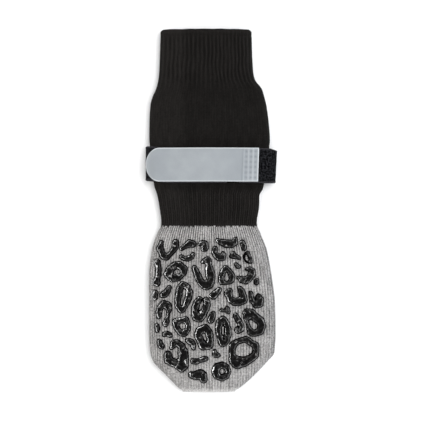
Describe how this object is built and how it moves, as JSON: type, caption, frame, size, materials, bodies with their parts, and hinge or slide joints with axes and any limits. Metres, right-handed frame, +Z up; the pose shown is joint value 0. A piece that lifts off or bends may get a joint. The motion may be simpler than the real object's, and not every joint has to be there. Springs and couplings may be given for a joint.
{
  "type": "dog sock",
  "caption": "Flat-laid knitted dog sock with grip spots on its sole, an open ribbed collar and a hook-and-loop strap round the leg.",
  "frame": {"origin": "on the surface the sock lies on, under the middle of its bounding box", "axes": "+X across the sock, to the right with the grip side up and the collar ahead; +Y along the sock from toe to collar; +Z up, out of the grip side"},
  "size_m": [0.0768, 0.2114, 0.014],
  "materials": {
    "knit": "matte ribbed knit, black leg; the foot is heathered grey",
    "elastic": "matte woven elastic, near black",
    "reflective_tape": "silver reflective tape, satin",
    "grip": "glossy black silicone spots"
  },
  "bodies": {
    "root": {"knit_sock": "knit", "strap_band": "elastic", "strap_tab": "reflective_tape"}
  },
  "joints": []
}
